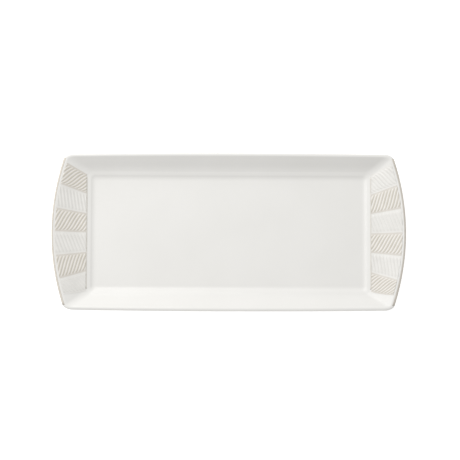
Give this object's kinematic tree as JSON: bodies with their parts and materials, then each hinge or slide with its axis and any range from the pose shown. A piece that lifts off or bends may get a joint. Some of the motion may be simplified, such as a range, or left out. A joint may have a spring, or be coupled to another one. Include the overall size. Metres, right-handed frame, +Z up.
{
  "type": "serving platter",
  "caption": "Rectangular white china serving platter with bowed ends, a flat well, a mitred flange, metallic edge lines and fans of raised wave panels, for serving food.",
  "frame": {"origin": "on the table, under the middle of the platter", "axes": "+X along the length towards the right-hand bowed end, +Y across towards the far long side, +Z up out of the well"},
  "size_m": [0.3802, 0.1716, 0.0186],
  "materials": {
    "bone_china": "smooth white glaze",
    "bare_china": "unglazed, polished matt",
    "metallic_line": "champagne metallic lustre fired over the glaze",
    "taupe_line": "taupe line fired over the glaze",
    "taupe_enamel": "raised taupe enamel with a soft sheen",
    "white_enamel": "raised white enamel with a soft sheen"
  },
  "bodies": {
    "root": {"china_body": "bone_china", "foot_ring": "bare_china", "edge_line_left": "metallic_line", "edge_line_right": "metallic_line", "inner_line_left": "taupe_line", "inner_line_right": "taupe_line", "taupe_left_1": "taupe_enamel", "taupe_left_2": "taupe_enamel", "taupe_left_3": "taupe_enamel", "taupe_right_1": "taupe_enamel", "taupe_right_2": "taupe_enamel", "taupe_right_3": "taupe_enamel", "white_left_1": "white_enamel", "white_left_2": "white_enamel", "white_left_3": "white_enamel", "white_right_1": "white_enamel", "white_right_2": "white_enamel", "white_right_3": "white_enamel"}
  },
  "joints": []
}
